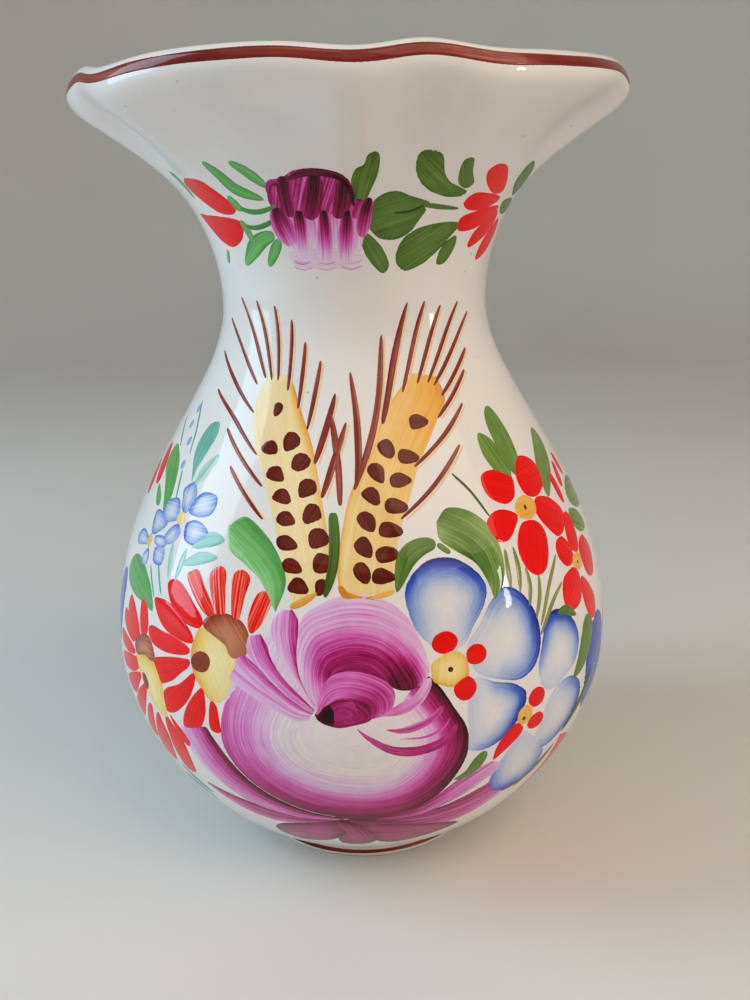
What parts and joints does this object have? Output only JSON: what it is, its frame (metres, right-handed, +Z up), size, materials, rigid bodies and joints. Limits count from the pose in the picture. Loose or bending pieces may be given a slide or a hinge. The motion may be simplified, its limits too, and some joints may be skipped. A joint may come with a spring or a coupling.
{
  "type": "hand-painted pottery vase",
  "caption": "White-glazed earthenware vase with a round belly, narrow neck, flared fluted mouth and ring foot, painted by hand with flowers and wheat; holds cut flowers in water.",
  "frame": {"origin": "centre of the ring foot's underside, on the surface the vase stands on", "axes": "+Z up along the axis the vase is turned about; the painted front, with the peony, faces -Y"},
  "size_m": [0.134, 0.1341, 0.1998],
  "materials": {
    "white_glaze": "glossy tin-white glaze",
    "foot_glaze": "thin white glaze, worn to the buff clay on the underside",
    "rim_line": "glossy red-brown brush line",
    "foot_line": "glossy red-brown brush line"
  },
  "bodies": {
    "root": {"vase_body": "white_glaze", "foot_ring": "foot_glaze", "rim_band": "rim_line", "foot_band": "foot_line"}
  },
  "joints": []
}
